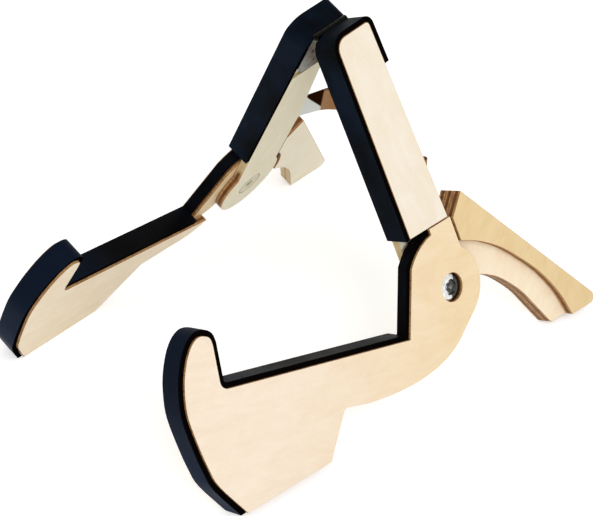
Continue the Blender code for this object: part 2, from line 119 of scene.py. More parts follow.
def shows_white(tree):
    """1 on the rays that carry the background: to the eye, off a gloss and through glass."""
    rays = add(tree, "LightPath", {})
    either = add(tree, "Math", {0: rays.outputs["Is Camera Ray"], 1: rays.outputs["Is Glossy Ray"]},
                 operation="MAXIMUM")
    return add(tree, "Math", {0: either.outputs[0], 1: rays.outputs["Is Transmission Ray"]},
               operation="MAXIMUM").outputs[0]


tent = bpy.data.worlds.new("white_tent")
tent.use_nodes = True
strength = add(tent.node_tree, "MapRange", {"Value": shows_white(tent.node_tree), "To Min": TENT_LIGHT})
background = tent.node_tree.nodes["Background"]
background.inputs["Color"].default_value = linear("FFFFFF")
tent.node_tree.links.new(strength.outputs["Result"], background.inputs["Strength"])
bpy.context.scene.world = tent
bpy.context.scene.view_settings.view_transform = "Standard"

for name, (place, size, power) in SOFT_BOXES.items():
    lamp = bpy.data.lights.new(name, "AREA")
    lamp.size, lamp.energy = size, power
    box = bpy.data.objects.new(name, lamp)
    back = np.array(place) / np.linalg.norm(place)
    side = np.cross((0, 0, 1), back)
    side /= np.linalg.norm(side)
    facing = np.eye(4)
    facing[:3, :3] = np.column_stack([side, np.cross(back, side), back])
    facing[:3, 3] = place
    box.matrix_world = Matrix(facing.tolist())
    bpy.context.collection.objects.link(box)

# Uncoated white paper: dull all over, and lifted towards white for those same rays
paper = bpy.data.materials.new("white_paper")
paper.use_nodes = True
tree = paper.node_tree
matt = add(tree, "BsdfDiffuse", {"Color": linear("F4F4F3"), "Roughness": 0.5})
lift = add(tree, "Emission", {"Color": linear("FFFFFF")})
lifted = add(tree, "Math", {0: shows_white(tree), 1: PAPER_LIFT}, operation="MULTIPLY")
tree.links.new(lifted.outputs[0], lift.inputs["Strength"])
both = add(tree, "AddShader", {0: matt.outputs[0], 1: lift.outputs[0]})
tree.links.new(both.outputs[0], tree.nodes["Material Output"].inputs["Surface"])

sweep = bpy.data.meshes.new("paper_sweep")
sweep.from_pydata([(x * PAPER_REACH, y * PAPER_REACH, 0) for x, y in ((-1, -1), (1, -1), (1, 1), (-1, 1))],
                  [], [(0, 1, 2, 3)])
sweep.materials.append(paper)
floor = bpy.data.objects.new("paper_sweep", sweep)
bpy.context.collection.objects.link(floor)


# Plywood sheets
# Eighteen shapes cut by laser from 5 mm birch plywood, glued in threes into two posts, two arms and two legs.
# Their pale rotary-cut faces are sanded and thinly oiled. The cut edges are scorched and show three plies.
SHEET = 4.8
PITCH = 5.1
CLOSING_GAP = 0.2
# The way from the hinge down to the bolt
POST_DROP = 161.4
FACE_PLY = 1.35
PLY_BLUR = 0.12
# The rounding of the sheets' edges, in metres
EASED = 0.00028
LAYERS = ("inner", "middle", "outer")
# How far each member's grain is turned from the forward direction, up towards the post, in degrees
GRAIN = {"post": 90, "arm": 23, "leg": 147}
# How far the figure moves along the grain from one sheet of a member to the next, and its move across as a
# share of that, so that the sheets differ
FIGURE_SHIFT = 211.0
FIGURE_ASIDE = 0.37
# The pale and the deeper tone of each sheet's face veneer
VENEER = {"post_outer": ("F5EBDA", "EEDEC5"), "post_middle": ("F3E0C2", "E6CDA3"),
          "post_inner": ("F6F0DA", "ECE3C6"), "arm_outer": ("F3DDB6", "EBCD9D"),
          "arm_middle": ("F1DDB9", "E2C79A"), "arm_inner": ("FDEFD8", "F1E0C0"),
          "leg_outer": ("EBD1A2", "E0C28B"), "leg_middle": ("FFF0D6", "F5DEB8"),
          "leg_inner": ("FFFAE6", "FDEED2")}
# The outer sheet of the arm is paler at its hook: its tones there, and the run along the grain, counted from
# the bolt, over which they change
HOOK_VENEER = ("F5E6D2", "EFD9BF")
HOOK_RUN = (-15.0, 125.0)
# The heights in metres between which cut edges turn from scorched to sanded, and how clean they get
SCORCHED = (0.0, 1.0, 0.0)
POST_SANDED = (0.068, 0.0715, 0.8)
SANDED = {"right_post": POST_SANDED, "left_post": POST_SANDED, "left_leg": (0.052, 0.046, 0.75)}
SIDES = {"right": 1, "left": -1}
behaviour = frame["record"]["behaviour"]
joints = {joint["name"]: joint for joint in behaviour["joints"]}
body_of = {node: body for body, nodes in behaviour["bodies"].items() for node in nodes}


def half_axes(half):
    """A half's forward, outward and upward directions and its hinge point, from the joints in the record."""
    forward = -np.array(joints["top_hinge"]["axis"])
    across = np.array(joints[half + "_arm_fold"]["axis"])
    return forward, across * SIDES[half], np.cross(forward, across), np.array(joints["top_hinge"]["pos_m"])


def sheet_coordinates(tree, half, grain, offset):
    """Millimetres along the grain, across it and out of the closing plane, and the normal on these axes."""
    forward, outward, upward, hinge = half_axes(half)
    turn = math.radians(grain)
    rows = np.array([math.cos(turn) * forward + math.sin(turn) * upward,
                     math.cos(turn) * upward - math.sin(turn) * forward,
                     outward])
    if np.linalg.det(rows) < 0:
        rows[1] = -rows[1]
    turning = Matrix(rows.tolist()).to_euler("XYZ")
    shift = -1000 * rows @ hinge + np.array([offset, FIGURE_ASIDE * offset, 0])
    where = add(tree, "TexCoord", {})
    place = add(tree, "Mapping", {"Vector": where.outputs["Object"], "Location": shift.tolist(),
                                  "Rotation": turning, "Scale": (1000, 1000, 1000)}, vector_type="POINT")
    normal = add(tree, "Mapping", {"Vector": where.outputs["Normal"], "Rotation": turning},
                 vector_type="VECTOR")
    return place.outputs[0], normal.outputs[0]


def new_material(name):
    """A new material, its node tree and its shader."""
    made = bpy.data.materials.new(name)
    made.use_nodes = True
    return made, made.node_tree, made.node_tree.nodes["Principled BSDF"]


def wood_noise(tree, place, lengths, **texture):
    """A noise with patches of these lengths in mm: along the grain, across it and through the sheet."""
    stretched = add(tree, "VectorMath", {0: place, 1: [1 / length for length in lengths]},
                    operation="MULTIPLY")
    return add(tree, "TexNoise", {"Vector": stretched.outputs[0], "Scale": 1.0, **texture}).outputs["Fac"]


def birch_plywood(name, half, grain, layer, tones, sanding, hook_tones):
    """Birch plywood: mottled figure and fine pores on the faces, and a scorched three-ply edge."""
    made, tree, shader = new_material(name)
    offset = FIGURE_SHIFT * (layer + 1)
    place, normal = sheet_coordinates(tree, half, grain, offset)
    split = add(tree, "SeparateXYZ", {0: place})

    # The figure: cloudy patches about 10 mm wide and 22 mm long, where the light catches the turned grain
    cloud = wood_noise(tree, place, (22, 10, 40), Detail=4.0, Roughness=0.6, Distortion=0.8)
    # The grain: growth lines about 1.5 mm apart that wander over 45 mm
    line = wood_noise(tree, place, (45, 1.5, 60), Detail=5.0, Roughness=0.62, Distortion=0.5)
    # The pores: short dark dashes 3 mm long and a third of a millimetre wide
    pore = wood_noise(tree, place, (3.2, 0.33, 5), Detail=1.0)
    pore_dark = add(tree, "MapRange", {"Value": pore, "From Min": 0.66, "From Max": 0.78, "To Max": 0.22})
    toned = add(tree, "MapRange", {"Value": cloud, "From Min": 0.32, "From Max": 0.68, "To Max": 0.62})
    lined = add(tree, "MapRange", {"Value": line, "From Min": 0.35, "From Max": 0.7, "To Max": 0.26})
    tone = add(tree, "Math", {0: toned.outputs[0], 1: lined.outputs[0]}, operation="ADD", use_clamp=True)
    bolt = offset - POST_DROP * math.sin(math.radians(grain))
    drift = add(tree, "MapRange", {"Value": split.outputs["X"], "From Min": bolt + HOOK_RUN[0],
                                   "From Max": bolt + HOOK_RUN[1]})
    pale, deep = (add(tree, "Mix", {0: drift.outputs[0], 6: linear(near), 7: linear(by_hook)},
                      data_type="RGBA") for near, by_hook in zip(tones, hook_tones))
    face = add(tree, "Mix", {0: tone.outputs[0], 6: pale.outputs[2], 7: deep.outputs[2]}, data_type="RGBA")
    face_pored = add(tree, "Mix", {0: pore_dark.outputs[0], 6: face.outputs[2], 7: linear("A9793F")},
                     data_type="RGBA")

    # The edge: two long-grain face plies and an end-grain core, browned by the laser in streaks across them
    depth = add(tree, "Math", {0: split.outputs["Z"], 1: CLOSING_GAP + layer * PITCH + SHEET / 2},
                operation="SUBTRACT")
    from_middle = add(tree, "Math", {0: depth.outputs[0]}, operation="ABSOLUTE")
    core = add(tree, "MapRange", {"Value": from_middle.outputs[0],
                                  "From Min": SHEET / 2 - FACE_PLY - PLY_BLUR,
                                  "From Max": SHEET / 2 - FACE_PLY + PLY_BLUR, "To Min": 1.0, "To Max": 0.0},
               interpolation_type="SMOOTHSTEP")
    plies = add(tree, "Mix", {0: core.outputs[0], 6: linear("CFA16A"), 7: linear("6A4424")}, data_type="RGBA")
    scorch = wood_noise(tree, place, (9, 9, 14), Detail=2.0)
    browned = add(tree, "MapRange", {"Value": scorch, "From Min": 0.4, "From Max": 0.66, "To Max": 0.45})
    toasted = add(tree, "Mix", {0: browned.outputs[0], 6: plies.outputs[2], 7: linear("945F30")},
                  data_type="RGBA")
    streak = wood_noise(tree, place, (1.3, 1.3, 14), Detail=4.0, Roughness=0.65)
    burnt = add(tree, "MapRange", {"Value": streak, "From Min": 0.46, "From Max": 0.66, "To Max": 0.6})
    streaked = add(tree, "Mix", {0: burnt.outputs[0], 6: toasted.outputs[2], 7: linear("40220F")},
                   data_type="RGBA")
    # A member whose edges were sanded clean past a height shows bare wood there
    height = add(tree, "SeparateXYZ", {0: add(tree, "TexCoord", {}).outputs["Object"]})
    sanded = add(tree, "MapRange", {"Value": height.outputs["Z"], "From Min": sanding[0],
                                    "From Max": sanding[1], "To Max": sanding[2]})
    edge = add(tree, "Mix", {0: sanded.outputs[0], 6: streaked.outputs[2], 7: linear("E2CB9C")},
               data_type="RGBA")

    facing = add(tree, "Math", {0: add(tree, "SeparateXYZ", {0: normal}).outputs["Z"]}, operation="ABSOLUTE")
    on_face = add(tree, "MapRange", {"Value": facing.outputs[0], "From Min": 0.8, "From Max": 0.97})
    colour = add(tree, "Mix", {0: on_face.outputs[0], 6: edge.outputs[2], 7: face_pored.outputs[2]},
                 data_type="RGBA")
    tree.links.new(colour.outputs[2], shader.inputs["Base Color"])
    rough = add(tree, "MapRange", {"Value": line, "From Min": 0.3, "From Max": 0.7, "To Min": 0.5,
                                   "To Max": 0.64})
    tree.links.new(rough.outputs[0], shader.inputs["Roughness"])
    shader.inputs["Specular IOR Level"].default_value = 0.35
    relief = add(tree, "Bump", {"Height": line, "Strength": 0.12, "Distance": 0.0002})
    tree.links.new(relief.outputs[0], shader.inputs["Normal"])
    return made


def eased(name, node, width, finish, rim=None, steps=2, limit=30.0):
    """A copy of a CAD node with its triangles joined, its flat faces merged and its sharp edges rounded.

    An edge that turns by more than the limit, in degrees, is rounded in so many steps, in the rim's material.
    """
    source = frame["nodes"][node]
    bm = bmesh.new()
    bm.from_mesh(source.data)
    bmesh.ops.remove_doubles(bm, verts=bm.verts[:], dist=1e-6)
    bmesh.ops.dissolve_limit(bm, angle_limit=math.radians(0.5), verts=bm.verts[:], edges=bm.edges[:])
    mesh = bpy.data.meshes.new(name)
    bm.to_mesh(mesh)
    bm.free()
    for material in (finish, rim or finish):
        mesh.materials.append(material)
    mesh.polygons.foreach_set("material_index", np.zeros(len(mesh.polygons), np.int32))
    mesh.shade_smooth()
    piece = bpy.data.objects.new(name, mesh)
    bpy.context.collection.objects.link(piece)
    edge = piece.modifiers.new("eased_edges", "BEVEL")
    edge.width, edge.segments = width, steps
    edge.limit_method, edge.angle_limit = "ANGLE", math.radians(limit)
    edge.use_clamp_overlap = True
    edge.miter_outer = "MITER_ARC"
    edge.material = 1
    # The large faces lead the shared normals, so that they stay flat up to the rounded edges
    level = piece.modifiers.new("face_led_normals", "WEIGHTED_NORMAL")
    level.mode, level.weight = "FACE_AREA", 100
    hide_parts(node)
    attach(piece, body_of[node])
    return piece


# The burnt rim that the laser leaves where a face meets a cut edge: a soft brown line with little gloss
scorched_rim, tree, shader = new_material("scorched_birch_rim")
where = add(tree, "TexCoord", {})
patch = add(tree, "TexNoise", {"Vector": where.outputs["Object"], "Scale": 260.0, "Detail": 3.0})
rim_colour = add(tree, "Mix", {0: patch.outputs["Fac"], 6: linear("B98550"), 7: linear("8A5A30")},
                 data_type="RGBA")
tree.links.new(rim_colour.outputs[2], shader.inputs["Base Color"])
shader.inputs["Roughness"].default_value = 0.7
shader.inputs["Specular IOR Level"].default_value = 0.2

for half in SIDES:
    for member, grain in GRAIN.items():
        for layer, word in enumerate(LAYERS):
            tones = VENEER[f"{member}_{word}"]
            ply = birch_plywood(f"birch_plywood_{half}_{member}_{word}", half, grain, layer, tones,
                                SANDED.get(f"{half}_{member}", SCORCHED),
                                HOOK_VENEER if (member, word) == ("arm", "outer") else tones)
            sheet = eased(f"{half}_{member}_sheet_{word}", f"{half}_{member}_{word}", EASED, ply,
                          scorched_rim)


# Rubber strips
# Flat strips of black neoprene rubber, about as wide as the stacked sheets and half as wide on the cradles,
# glued along the edges that touch the instrument: up each post and over its top, and along each cradle and
# round its hook. The rounding of their edges is in metres.
STRIP_ROUND = 0.0007
# The black and the bloom of each member's strip, the arms' darker than the posts' as painted shade, and the
# bluer painted highlight of the hooks
RUBBER = {"post": ("05070A", "0F1926"), "arm": ("040404", "0A0C11")}
HOOK_PAINTED_HIGHLIGHT = "15243B"
# The stretch in metres ahead of the middle over which that painted highlight begins, the height up to which
# it fades, and its share from there on
HOOK_AHEAD = (0.085, 0.13)
HOOK_HEIGHT = 0.07
HOOK_SHARE = 0.35


def neoprene(name, half, black, bloomed):
    """Black neoprene sheet: a smooth moulded skin with a faint bluish bloom, a bluer painted highlight low on
    the hooks, and dull cut sides.
    """
    made, tree, shader = new_material(name)
    place, normal = sheet_coordinates(tree, half, 0, 0)
    # A fine pebble of about 0.3 mm, and broad hand-worn patches of slightly different gloss
    pebble = add(tree, "TexNoise", {"Vector": place, "Scale": 3.3, "Detail": 2.0})
    patched = add(tree, "TexNoise", {"Vector": place, "Scale": 0.03, "Detail": 3.0, "Roughness": 0.55})
    bloom = add(tree, "MapRange", {"Value": patched.outputs["Fac"], "From Min": 0.38, "From Max": 0.62})
    patchy = add(tree, "Mix", {0: bloom.outputs[0], 6: linear(black), 7: linear(bloomed)}, data_type="RGBA")
    # The hooks' lower fronts turn bluer: a painted highlight
    where = add(tree, "TexCoord", {})
    split = add(tree, "SeparateXYZ", {0: where.outputs["Object"]})
    ahead = add(tree, "MapRange", {"Value": split.outputs["Y"], "From Min": -HOOK_AHEAD[0],
                                   "From Max": -HOOK_AHEAD[1]})
    low = add(tree, "MapRange", {"Value": split.outputs["Z"], "From Max": HOOK_HEIGHT, "To Min": 1.0,
                                 "To Max": HOOK_SHARE})
    by_hook = add(tree, "Math", {0: ahead.outputs[0], 1: low.outputs[0]}, operation="MULTIPLY")
    skin_colour = add(tree, "Mix", {0: by_hook.outputs[0], 6: patchy.outputs[2], 7: linear(HOOK_PAINTED_HIGHLIGHT)},
                      data_type="RGBA")
    # The sides that face in and out of the stack are cut: browner, and with no gloss
    turned_out = add(tree, "Math", {0: add(tree, "SeparateXYZ", {0: normal}).outputs["Z"]},
                     operation="ABSOLUTE")
    cut = add(tree, "MapRange", {"Value": turned_out.outputs[0], "From Min": 0.5, "From Max": 0.9})
    sided = add(tree, "Mix", {0: cut.outputs[0], 6: skin_colour.outputs[2], 7: linear("080605")},
                data_type="RGBA")
    tree.links.new(sided.outputs[2], shader.inputs["Base Color"])
    sheen = add(tree, "MapRange", {"Value": cut.outputs[0], "To Min": 0.016, "To Max": 0.0})
    tree.links.new(sheen.outputs[0], shader.inputs["Specular IOR Level"])
    skin = add(tree, "MapRange", {"Value": patched.outputs["Fac"], "From Min": 0.3, "From Max": 0.7,
                                  "To Min": 0.36, "To Max": 0.52})
    tree.links.new(skin.outputs[0], shader.inputs["Roughness"])
    relief = add(tree, "Bump", {"Height": pebble.outputs["Fac"], "Strength": 0.25, "Distance": 0.0001})
    tree.links.new(relief.outputs[0], shader.inputs["Normal"])
    return made


for half in SIDES:
    for member, (black, bloomed) in RUBBER.items():
        skin = neoprene(f"black_neoprene_rubber_{half}_{member}", half, black, bloomed)
        strip = eased(f"{half}_{member}_strip", f"{half}_{member}_rubber", STRIP_ROUND, skin, steps=3,
                      limit=35.0)


# Pivot bolts
# A zinc-plated furniture bolt with a wide head and a hexagon socket, sunk in a counterbore of the arm, and
# the sleeve nut that it screws into, whose flat head lies flush in the inner face of the post.
HEAD_SUNK = 1.6
HEAD_RADIUS = 8.1
HEAD_HEIGHT = 1.6
HEAD_DOME = 0.45
RIM_CHAMFER = 0.5
SHANK_RADIUS = 3.0
SOCKET_FLAT = 4.1
SOCKET_DEPTH = 1.3
SLEEVE_RADIUS = 4.4
SLEEVE_BORE = 3.3
NUT_HEIGHT = 1.5
# The side of the head that is darkened with painted shade, as the forward and upward parts of its direction
# times
# 1000, and how ragged the painted shade's border is
PAINTED_SHADE_RUN = (-880, -470)
PAINTED_SHADE_RAGGED = 3.0
# How far past the bolt's middle the painted shade begins on the head and in its socket, each with 1.5 mm
# added for the ragged border, and how much the painted shade hides
BOLT_PAINTED_SHADE = 2.4
SOCKET_PAINTED_SHADE = 0.6
PAINTED_SHADE_COVER = 0.93


def steel(name, light, dark, rough, brushed, patch=(0.25, 0.75), painted_shade_reach=0.0):
    """Plated or blackened steel: a metal with fine turning or rolling marks and faint cloudy passivation.

    The marks are brushed so many times a metre along each axis. The tone turns from dark to light over the
    patch range of its noise, and painted shade darkens what lies within painted_shade_reach millimetres of
    the hinge line.
    """
    made, tree, shader = new_material(name)
    where = add(tree, "TexCoord", {})
    cloud = add(tree, "TexNoise", {"Vector": where.outputs["Object"], "Scale": 420.0, "Detail": 4.0})
    mottle = add(tree, "MapRange", {"Value": cloud.outputs["Fac"], "From Min": patch[0],
                                    "From Max": patch[1]})
    tone = add(tree, "Mix", {0: mottle.outputs[0], 6: linear(dark), 7: linear(light)}, data_type="RGBA")
    tree.links.new(tone.outputs[2], shader.inputs["Base Color"])
    if painted_shade_reach:
        # Painted shade near the hinge line, where the knuckles lie hidden; the distance is the length of
        # (place - hinge) x (line)
        forward, _, _, hinge = half_axes("right")
        apart = add(tree, "VectorMath", {0: where.outputs["Object"], 1: hinge.tolist()}, operation="SUBTRACT")
        moment = add(tree, "VectorMath", {0: apart.outputs[0], 1: (1000 * forward).tolist()},
                     operation="CROSS_PRODUCT")
        length = add(tree, "VectorMath", {0: moment.outputs[0]}, operation="LENGTH")
        unshaded = add(tree, "MapRange", {"Value": length.outputs["Value"], "From Min": painted_shade_reach,
                                       "From Max": painted_shade_reach + 1.0})
        shaded_tone = add(tree, "Mix", {0: unshaded.outputs[0], 6: linear("15140F"), 7: tone.outputs[2]},
                   data_type="RGBA")
        tree.links.new(shaded_tone.outputs[2], shader.inputs["Base Color"])
    shader.inputs["Metallic"].default_value = 1.0
    marks_place = add(tree, "Mapping", {"Vector": where.outputs["Object"], "Scale": brushed})
    marks = add(tree, "TexNoise", {"Vector": marks_place.outputs[0], "Scale": 1.0, "Detail": 3.0})
    gloss = add(tree, "MapRange", {"Value": marks.outputs["Fac"], "From Min": 0.3, "From Max": 0.7,
                                   "To Min": rough, "To Max": rough + 0.16})
    tree.links.new(gloss.outputs[0], shader.inputs["Roughness"])
    relief = add(tree, "Bump", {"Height": marks.outputs["Fac"], "Strength": 0.08, "Distance": 0.0001})
    tree.links.new(relief.outputs[0], shader.inputs["Normal"])
    return made


def painted_shade_steel(name, half, painted_shade_from, painted_shade_tone):
    """The bolt's plating, bright towards the hook and dark with painted shade towards the leg."""
    made = steel(f"{name}_{half}", "F6F7F6", "CBCECC", 0.08, (900, 900, 900))
    tree = made.node_tree
    shader = tree.nodes["Principled BSDF"]
    forward, _, upward, _ = half_axes(half)
    pivot = np.array(joints[half + "_arm_fold"]["pos_m"])
    where = add(tree, "TexCoord", {})
    aside = add(tree, "VectorMath", {0: where.outputs["Object"], 1: pivot.tolist()}, operation="SUBTRACT")
    to_leg = PAINTED_SHADE_RUN[0] * forward + PAINTED_SHADE_RUN[1] * upward
    rearwards = add(tree, "VectorMath", {0: aside.outputs[0], 1: to_leg.tolist()}, operation="DOT_PRODUCT")
    ragged = add(tree, "TexNoise", {"Vector": where.outputs["Object"], "Scale": 500.0, "Detail": 3.0})
    run = add(tree, "Math", {0: ragged.outputs["Fac"], 1: PAINTED_SHADE_RAGGED, 2: rearwards.outputs["Value"]},
              operation="MULTIPLY_ADD")
    painted_shade = add(tree, "MapRange", {"Value": run.outputs[0], "From Min": painted_shade_from, "From Max": painted_shade_from + 1.0,
                                 "To Max": PAINTED_SHADE_COVER})
    unshaded = shader.inputs["Base Color"].links[0].from_socket
    shaded_tone = add(tree, "Mix", {0: painted_shade.outputs[0], 6: unshaded, 7: linear(painted_shade_tone)}, data_type="RGBA")
    tree.links.new(shaded_tone.outputs[2], shader.inputs["Base Color"])
    return made


def ring_faces(rings, count):
    """Quads between neighbouring rings of count points: each point joins the next, and the last the first."""
    row, turn = np.meshgrid(np.arange(rings - 1), np.arange(count), indexing="ij")
    here = row * count + turn
    beside = row * count + (turn + 1) % count
    return np.stack([here, beside, beside + count, here + count], axis=-1).reshape(-1, 4).tolist()


def closed_piece(name, mesh, finish, sharp):
    """A closed skin as an object: doubles merged, faces outwards, smooth but for edges past an angle."""
    bm = bmesh.new()
    bm.from_mesh(mesh)
    bmesh.ops.remove_doubles(bm, verts=bm.verts[:], dist=1e-7)
    bmesh.ops.recalc_face_normals(bm, faces=bm.faces[:])
    bm.to_mesh(mesh)
    bm.free()
    mesh.materials.append(finish)
    mesh.shade_smooth()
    mesh.set_sharp_from_angle(angle=math.radians(sharp))
    piece = bpy.data.objects.new(name, mesh)
    bpy.context.collection.objects.link(piece)
    return piece


def lathe(name, rings, centre, axis, finish, count=72):
    """Rings round an axis, each given as radius, height and hexagon share, from pole to pole.

    The radius at an angle runs from the ring's own, at share 0, to radius / cos(angle from the nearest flat),
    at share 1.
    """
    rings = np.array(rings, float) * (0.001, 0.001, 1)
    angle = np.linspace(0, 2 * math.pi, count, endpoint=False)
    off_flat = (angle + math.pi / 6) % (math.pi / 3) - math.pi / 6
    radius = rings[:, :1] * (1 - rings[:, 2:] + rings[:, 2:] / np.cos(off_flat))
    axis = np.array(axis) / np.linalg.norm(axis)
    first = np.cross(axis, (0, 1, 0))
    first /= np.linalg.norm(first)
    spoke = np.cos(angle)[:, None] * first + np.sin(angle)[:, None] * np.cross(axis, first)
    points = np.array(centre) + radius[..., None] * spoke + rings[:, 1, None, None] * axis
    mesh = bpy.data.meshes.new(name)
    mesh.from_pydata(points.reshape(-1, 3).tolist(), [], ring_faces(len(rings), count))
    return closed_piece(name, mesh, finish, 28)


nut_steel = steel("satin_nickel_steel", "CDC8B2", "B6B29C", 0.42, (500, 500, 3000))
stack = CLOSING_GAP + 2 * PITCH + SHEET
for half in SIDES:
    outward = half_axes(half)[1]
    pivot = np.array(joints[half + "_arm_fold"]["pos_m"])
    # The crown of the bolt's head, and the underside of the head
    top = stack - HEAD_SUNK
    under = top - HEAD_HEIGHT
    bolt = [(0, 2.7, 0), (2.4, 2.7, 0), (SHANK_RADIUS, 3.3, 0), (SHANK_RADIUS, under, 0),
            (HEAD_RADIUS - 0.2, under, 0), (HEAD_RADIUS, top - 1.4, 0),
            (HEAD_RADIUS, top - HEAD_DOME - RIM_CHAMFER, 0), (HEAD_RADIUS - 0.15, top - HEAD_DOME - 0.15, 0),
            (HEAD_RADIUS - RIM_CHAMFER, top - HEAD_DOME, 0), (7.0, top - 0.25, 0), (6.2, top - 0.06, 0),
            (SOCKET_FLAT + 0.6, top, 0.7), (SOCKET_FLAT + 0.12, top - 0.1, 1), (SOCKET_FLAT, top - 0.3, 1),
            (SOCKET_FLAT - 0.1, top - 1.15, 1), (SOCKET_FLAT - 0.4, top - SOCKET_DEPTH, 1),
            (2.6, top - SOCKET_DEPTH, 0.3), (1.2, top - 2.4, 0), (0, top - 2.6, 0)]
    # The head is darkened towards the leg with painted shade
    piece = lathe(half + "_socket_bolt", bolt, pivot, outward,
                  painted_shade_steel("zinc_plated_bolt", half, BOLT_PAINTED_SHADE, "191A15"))
    # On the socket's walls and its drilled bottom the painted shade begins further forward, and is greyer
    piece.data.materials.append(painted_shade_steel("bolt_socket_painted_shade", half, SOCKET_PAINTED_SHADE, "22231D"))
    for face in piece.data.polygons:
        offset = np.array(face.center) - pivot
        aside = np.linalg.norm(offset - (offset @ outward) * outward)
        if aside < 0.001 * (SOCKET_FLAT + 0.5) and offset @ outward > 0.001 * (top - 3):
            face.material_index = 1
    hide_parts(half + "_pivot_bolt")
    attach(piece, half + "_post")
    flush = CLOSING_GAP
    nut = [(0, flush + 0.9, 0), (2.3, flush + 0.85, 1), (2.5, flush + 0.7, 1), (2.5, flush + 0.15, 1),
           (2.7, flush, 0.8), (7.9, flush, 0), (8.25, flush + 0.12, 0), (8.4, flush + 0.45, 0),
           (8.4, flush + 1.4, 0), (8.3, flush + NUT_HEIGHT, 0), (SLEEVE_RADIUS, flush + NUT_HEIGHT, 0),
           (SLEEVE_RADIUS, top - 2.0, 0), (SLEEVE_RADIUS - 0.1, top - 1.9, 0), (SLEEVE_BORE, top - 1.9, 0),
           (SLEEVE_BORE, 2.4, 0), (0, 2.4, 0)]
    piece = lathe(half + "_sleeve_nut_head", nut, pivot, outward, nut_steel)
    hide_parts(half + "_sleeve_nut")
    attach(piece, half + "_post")


# Top hinge
# A small steel butt hinge: two stamped leaves whose rolled knuckles turn on a pin, let into the inner sheets
# at the top of the posts, and three countersunk cross-head screws in each leaf.
LEAF_FACE = 0.35
# The rounding of the edges of leaves and pin, in metres
LEAF_ROUND = 0.00012
# The screws' places, ahead of the hinge and below it
SCREW_PLACES = [(8.6, 16.7), (-3.4, 16.7), (2.6, 28.0)]
SCREW_HEAD = 2.1
SCREW_SHANK = 1.0
SCREW_LENGTH = 3.6
# The flat of the head, and the cross in it: half an arm's width, its reach and depth, and the run of its
# sides and ends
SCREW_FLAT = SCREW_HEAD * 0.94
CROSS_HALF = 0.34
CROSS_REACH = 1.25
CROSS_DEPTH = 0.75
CROSS_SLOPE = (0.12, 0.2)

# The leaves and pin are darkened near the hinge line with painted shade
rolled_steel = steel("rolled_plated_steel", "626B61", "373D37", 0.24, (2600, 300, 300), (0.35, 0.65), 2.6)
screw_steel = steel("blackened_screw_steel", "6A6A66", "3E3E3C", 0.22, (1500, 1500, 1500))
for node in ("right_hinge_leaf", "left_hinge_leaf", "hinge_pin"):
    plate = eased(node + "_plate" if "leaf" in node else "hinge_pin_rod", node, LEAF_ROUND, rolled_steel,
                  limit=35.0)


def screw(name, centre, forward, upward, outward, finish, rings=18, count=48):
    """A countersunk screw with a cross recess.

    Its head is a disc of rings whose depth at a point is the recess depth times a smooth step in from the
    nearer arm of the cross. Its flank and shank follow the CAD screw, and both ends close in a pole.
    """
    share = np.linspace(0, 1, rings)[:, None]
    angle = np.linspace(0, 2 * math.pi, count, endpoint=False)[None, :]
    x, y = SCREW_FLAT * share * np.cos(angle), SCREW_FLAT * share * np.sin(angle)
    near_arm = np.minimum(np.abs(x), np.abs(y))
    inside = (np.clip((CROSS_HALF - near_arm) / CROSS_SLOPE[0], 0, 1)
              * np.clip((CROSS_REACH - SCREW_FLAT * share) / CROSS_SLOPE[1], 0, 1))
    depth = CROSS_DEPTH * inside * inside * (3 - 2 * inside)
    profile = np.array([(SCREW_HEAD, 0.1), (SCREW_SHANK, 1.2), (SCREW_SHANK, SCREW_LENGTH - 0.8),
                        (0, SCREW_LENGTH)])
    x = np.vstack([x, profile[:, :1] * np.cos(angle)])[..., None]
    y = np.vstack([y, profile[:, :1] * np.sin(angle)])[..., None]
    depth = np.vstack([depth, np.repeat(profile[:, 1:], count, axis=1)])[..., None]
    points = np.array(centre) + 0.001 * (x * forward + y * upward + depth * outward)
    mesh = bpy.data.meshes.new(name)
    mesh.from_pydata(points.reshape(-1, 3).tolist(), [], ring_faces(len(x), count))
    return closed_piece(name, mesh, finish, 40)


for half in SIDES:
    forward, outward, upward, hinge = half_axes(half)
    for number, (ahead, below) in enumerate(SCREW_PLACES, 1):
        centre = hinge + 0.001 * (ahead * forward - below * upward + (LEAF_FACE + 0.1) * outward)
        piece = screw(f"{half}_cross_screw_{number}", centre, forward, upward, outward, screw_steel)
        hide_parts(f"{half}_hinge_screw_{number}")
        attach(piece, half + "_post")


# Leather strap
# A band of smooth brown harness leather with rounded, burnished edges. Its ends are glued into slots between
# two sheets of each post, and it bows backwards, so that it limits how far the stand opens and gives as it
# closes.
STRAP_WIDTH = 21.0
STRAP_THICKNESS = 1.8
STRAP_EDGE = 0.7
# The post's rear edge behind the hinge, and the strap's height over the bolt
NECK_REAR = 18.6
STRAP_LIFT = 61.4
# How deep an end is tucked in, how far it then runs straight, and how deep the strap bows
STRAP_TUCK = 10.0
STRAP_LEAD = 1.4
STRAP_BOW = 33.0
# The bow's points: shares of the half span from the left post to the right one, and of the bow's depth
STRAP_COURSE = [(-0.95, 0.26), (-0.8, 0.66), (-0.45, 0.95), (0.0, 0.78), (0.42, 0.42), (0.8, 0.05)]
PATH_STEPS = 12
CORNER_POINTS = 6
FLAT_POINTS = 9
# How far along the strap from its left end the painted shade and painted reflection reach, and a point and
# the slope of the line below which the pale painted reflection takes the place of the painted shade
PAINTED_END_REACH = 29.0
PAINTED_REFLECTION_FROM = (18.0, 19.0)
PAINTED_REFLECTION_SLOPE = 1.3


